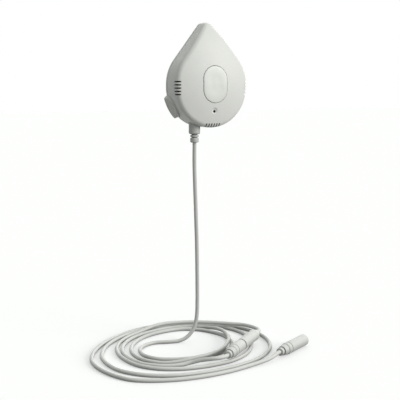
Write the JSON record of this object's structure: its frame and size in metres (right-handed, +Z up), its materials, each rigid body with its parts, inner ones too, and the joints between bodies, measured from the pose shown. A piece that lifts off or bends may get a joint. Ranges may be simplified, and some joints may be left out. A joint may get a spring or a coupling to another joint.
{
  "type": "water leak sensor",
  "caption": "Drop-shaped wall water leak detector with press button, release tabs and plug-in lead joined to a looped floor sensing cord.",
  "frame": {"origin": "centre of the round part of the flat back face, on the wall", "axes": "+Z up, front toward -Y, +X to the right seen from the front"},
  "size_m": [0.1807, 0.1421, 0.27],
  "materials": {
    "shell": "fine satin texture",
    "cover": "fine satin texture",
    "tab": "satin",
    "button": "satin",
    "board": "solder mask",
    "black_plastic": "moulded",
    "dark_plastic": "moulded",
    "screw_steel": "zinc plated",
    "spring_steel": "drawn wire",
    "contact": "nickel plated strip",
    "shield": "tinned can",
    "brass": "gold flash",
    "pin_plating": "nickel plated",
    "chip_white": "moulded",
    "led_lens": "moulded lens",
    "clear": "clear acrylic",
    "cell_wrap": "shrink sleeve",
    "moulding": "overmoulded soft plastic",
    "lead_jacket": "smooth jacket",
    "sensing_jacket": "ribbed sensing jacket"
  },
  "bodies": {
    "rear": {"rear_cover": "cover", "sense_probes": "brass", "left_tab_spring": "spring_steel", "right_tab_spring": "spring_steel"},
    "left_tab": {"left_release_tab": "tab"},
    "right_tab": {"right_release_tab": "tab"},
    "button": {"front_button": "button", "switch_plunger": "black_plastic"},
    "detector": {"front_shell": "shell", "tact_switch": "black_plastic", "main_board": "board", "board_screws": "screw_steel", "radio_module": "shield", "piezo_sounder": "black_plastic", "climate_sensor": "chip_white", "status_led": "led_lens", "light_pipe": "clear", "probe_pins": "brass", "jack_socket": "black_plastic", "battery_cradle": "dark_plastic", "cradle_screws": "screw_steel", "battery_cell": "cell_wrap", "positive_contact": "contact", "negative_contact": "contact", "negative_spring": "spring_steel", "lead_plug": "moulding", "lead_plug_pin": "pin_plating", "lead_drop": "lead_jacket", "lead_coil": "lead_jacket", "lead_socket": "moulding", "sensing_plug": "moulding", "sensing_plug_pin": "pin_plating", "sensing_cord": "sensing_jacket", "end_socket": "moulding"}
  },
  "joints": [
    {"name": "detector_lift", "type": "slide", "parent": "rear", "child": "detector", "axis": [0, -1, 0], "range_m": [0, 0.03]},
    {"name": "left_tab_press", "type": "slide", "parent": "rear", "child": "left_tab", "axis": [0.866, 0, 0.5], "range_m": [0, 0.001], "stiffness_N_per_m": 1500, "deforming": ["left_tab_spring"]},
    {"name": "right_tab_press", "type": "slide", "parent": "rear", "child": "right_tab", "axis": [-0.866, 0, 0.5], "range_m": [0, 0.001], "stiffness_N_per_m": 1500, "deforming": ["right_tab_spring"]},
    {"name": "button_press", "type": "slide", "parent": "detector", "child": "button", "axis": [0, 1, 0], "range_m": [0, 0.0008], "stiffness_N_per_m": 2000}
  ]
}
